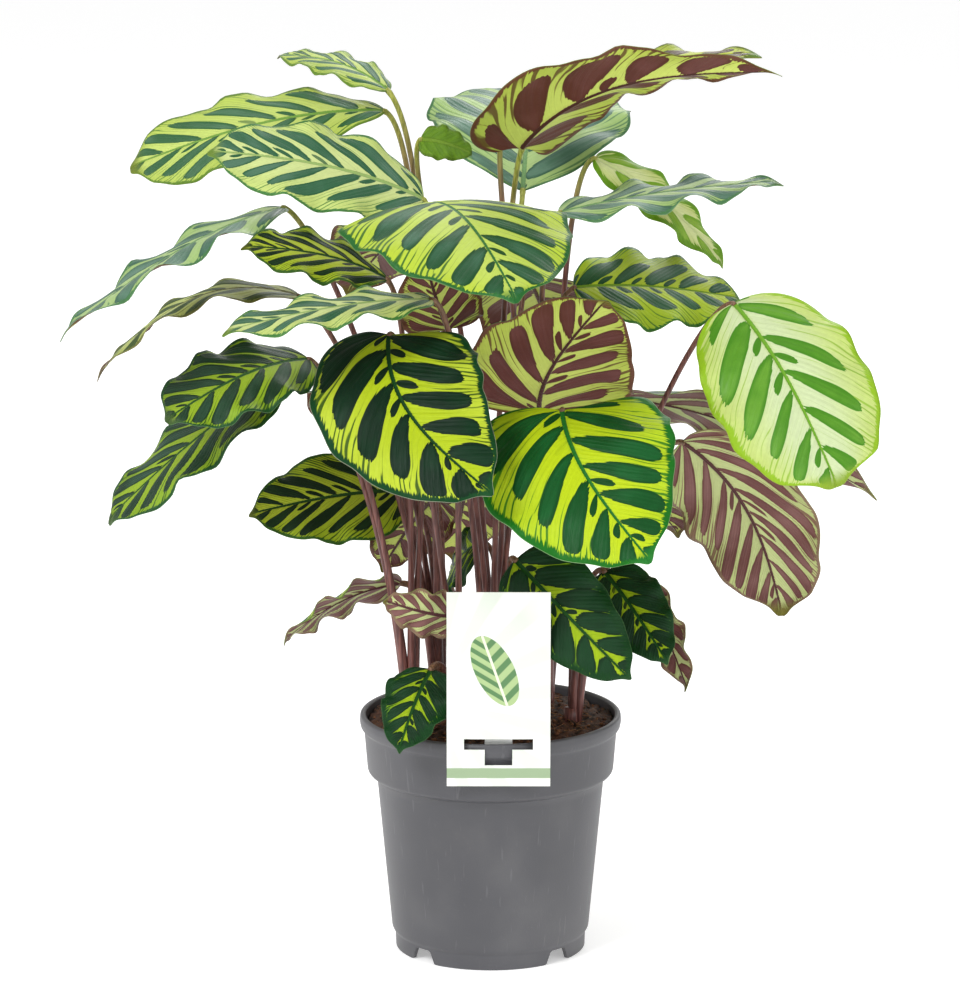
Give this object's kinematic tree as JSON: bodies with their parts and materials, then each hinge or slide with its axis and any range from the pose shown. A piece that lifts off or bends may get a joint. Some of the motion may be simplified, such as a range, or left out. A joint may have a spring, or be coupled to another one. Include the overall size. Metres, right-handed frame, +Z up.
{
  "type": "potted calathea",
  "caption": "Peacock plant with waved, blotched oval leaves on reddish brown stalks, in a grey tapered nursery pot with soil and a plain hang-on plant label.",
  "frame": {"origin": "on the pot's axis, at the level that its foot ring stands on", "axes": "+Z up along the pot's axis, -Y towards the plant label at the front, +X to the viewer's right"},
  "size_m": [0.4326, 0.3025, 0.4949],
  "materials": {
    "pot": "semi-matte moulded dark grey plastic",
    "soil": "damp dark brown potting soil with paler fibres",
    "label": "smooth white plastic card with a soft pale green leaf pattern",
    "stalk": "smooth reddish brown plant stalk",
    "leaf_light": "satin yellow-green leaf with deep green blotches and fine veins, maroon blotches below",
    "leaf_dark": "satin deep green blotched leaf with a yellow-green ground, maroon blotches below"
  },
  "bodies": {
    "root": {"label": "label", "leaf_back_1": "leaf_light", "leaf_back_2": "leaf_dark", "leaf_back_3": "leaf_light", "leaf_back_4": "leaf_dark", "leaf_back_5": "leaf_dark", "leaf_back_6": "leaf_light", "leaf_front_1": "leaf_light", "leaf_front_2": "leaf_dark", "leaf_front_3": "leaf_dark", "leaf_front_4": "leaf_light", "leaf_front_5": "leaf_light", "leaf_left_1": "leaf_light", "leaf_left_2": "leaf_light", "leaf_left_3": "leaf_light", "leaf_left_4": "leaf_light", "leaf_left_5": "leaf_dark", "leaf_left_6": "leaf_dark", "leaf_left_7": "leaf_dark", "leaf_low_1": "leaf_light", "leaf_low_2": "leaf_light", "leaf_low_3": "leaf_dark", "leaf_low_4": "leaf_dark", "leaf_low_5": "leaf_dark", "leaf_low_6": "leaf_light", "leaf_low_7": "leaf_light", "leaf_low_8": "leaf_dark", "leaf_right_1": "leaf_light", "leaf_right_2": "leaf_dark", "leaf_right_3": "leaf_light", "leaf_right_4": "leaf_light", "leaf_top_1": "leaf_light", "leaf_top_2": "leaf_light", "leaf_top_3": "leaf_light", "leaf_top_4": "leaf_light", "leaf_top_5": "leaf_light", "leaf_top_6": "leaf_light", "leaf_top_7": "leaf_light", "leaf_top_8": "leaf_light", "leaf_top_9": "leaf_light", "pot": "pot", "shoot_back": "stalk", "shoot_centre": "stalk", "shoot_front_left": "stalk", "shoot_front_right": "stalk", "shoot_left": "stalk", "shoot_left_back": "stalk", "shoot_right": "stalk", "shoot_right_back": "stalk", "soil": "soil"}
  },
  "joints": []
}
